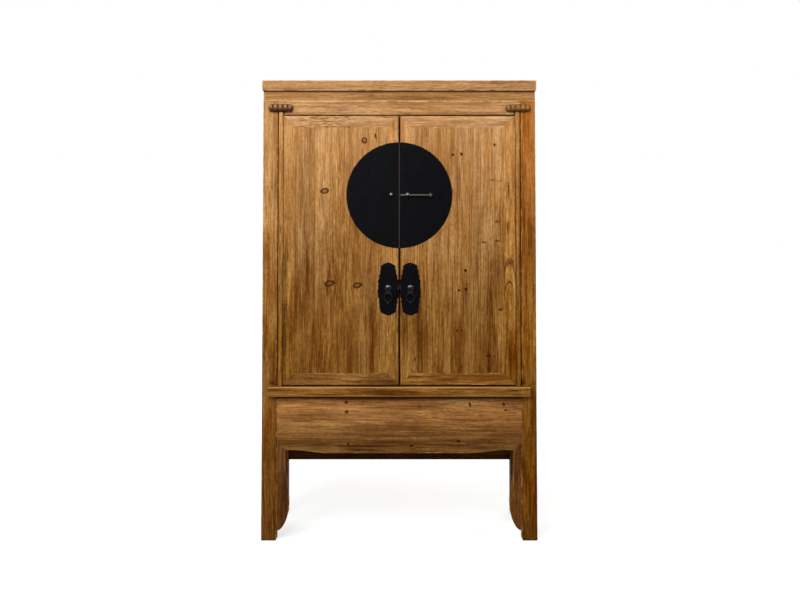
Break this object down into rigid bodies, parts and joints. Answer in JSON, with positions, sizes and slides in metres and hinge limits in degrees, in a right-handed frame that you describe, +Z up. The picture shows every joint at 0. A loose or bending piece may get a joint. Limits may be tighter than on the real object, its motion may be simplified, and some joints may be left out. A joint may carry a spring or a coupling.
{
  "type": "wardrobe",
  "caption": "Tapered pine wardrobe on tall legs, with pivot-hung doors, a round black iron face plate, a sliding lock pin, drop pulls, a shelf and a hidden chest under a loose floor.",
  "frame": {"origin": "on the floor, under the middle of the wardrobe's box: half way between the sill's front edge and the back", "axes": "+X to the right as seen from the front, +Y to the back, +Z up"},
  "size_m": [1.082, 0.535, 1.8],
  "materials": {
    "honey_pine": "old pine with a worn honey-coloured wax finish and dark grain",
    "dark_pine": "the same pine, darkened towards the floor",
    "carved_pine": "weathered carved pine",
    "black_iron": "satin black sheet iron",
    "worn_iron": "dark iron, polished by handling"
  },
  "bodies": {
    "case": {"front_left_post": "dark_pine", "front_right_post": "dark_pine", "back_left_post": "dark_pine", "back_right_post": "dark_pine", "top_front_rail": "honey_pine", "top_back_rail": "honey_pine", "top_left_rail": "honey_pine", "top_right_rail": "honey_pine", "top_panel": "honey_pine", "frieze_rail": "honey_pine", "front_head_rail": "honey_pine", "back_head_rail": "honey_pine", "left_head_rail": "honey_pine", "right_head_rail": "honey_pine", "sill": "honey_pine", "back_mid_rail": "honey_pine", "left_mid_rail": "honey_pine", "right_mid_rail": "honey_pine", "front_apron": "honey_pine", "left_apron": "honey_pine", "right_apron": "honey_pine", "left_spandrel": "dark_pine", "right_spandrel": "dark_pine", "back_stretcher": "honey_pine", "left_side_panel": "honey_pine", "right_side_panel": "honey_pine", "back_upper_panel": "honey_pine", "back_lower_panel": "honey_pine", "bottom_panel": "honey_pine", "shelf": "honey_pine", "left_shelf_bearer": "honey_pine", "right_shelf_bearer": "honey_pine", "left_pivot_block": "carved_pine", "right_pivot_block": "carved_pine"},
    "floor": {"floor_panel": "honey_pine"},
    "left_door": {"left_hinge_stile": "honey_pine", "left_meeting_stile": "honey_pine", "left_door_top_rail": "honey_pine", "left_door_bottom_rail": "honey_pine", "left_door_panel": "honey_pine", "left_upper_batten": "honey_pine", "left_lower_batten": "honey_pine", "left_face_plate": "black_iron", "left_bolt_eye": "worn_iron", "left_pull_plate": "black_iron", "left_pull_boss": "worn_iron"},
    "right_door": {"right_hinge_stile": "honey_pine", "right_meeting_stile": "honey_pine", "right_door_top_rail": "honey_pine", "right_door_bottom_rail": "honey_pine", "right_door_panel": "honey_pine", "right_upper_batten": "honey_pine", "right_lower_batten": "honey_pine", "right_face_plate": "black_iron", "right_bolt_eye": "worn_iron", "right_pull_plate": "black_iron", "right_pull_boss": "worn_iron"},
    "left_pull": {"left_pull_drop": "worn_iron"},
    "right_pull": {"right_pull_drop": "worn_iron"},
    "pin": {"lock_pin": "worn_iron"}
  },
  "joints": [
    {"name": "right_door_swing", "type": "hinge", "parent": "case", "child": "right_door", "pos_m": [0.4667, -0.2305, 0.605], "axis": [-0.0049, 0, 1], "range_deg": [0, 105]},
    {"name": "left_door_swing", "type": "hinge", "parent": "case", "child": "left_door", "pos_m": [-0.4667, -0.2305, 0.605], "axis": [-0.0049, 0, -1], "range_deg": [0, 105]},
    {"name": "right_pull_lift", "type": "hinge", "parent": "right_door", "child": "right_pull", "pos_m": [0.0435, -0.2452, 0.988], "axis": [-1, 0, 0], "range_deg": [-4, 85]},
    {"name": "left_pull_lift", "type": "hinge", "parent": "left_door", "child": "left_pull", "pos_m": [-0.0435, -0.2452, 0.988], "axis": [-1, 0, 0], "range_deg": [-4, 85]},
    {"name": "lock_pin_slide", "type": "slide", "parent": "right_door", "child": "pin", "axis": [1, 0, 0], "range_m": [-0.07, 0.02]},
    {"name": "floor_lift", "type": "slide", "parent": "case", "child": "floor", "axis": [0, 0, 1], "range_m": [0, 0.3]}
  ]
}
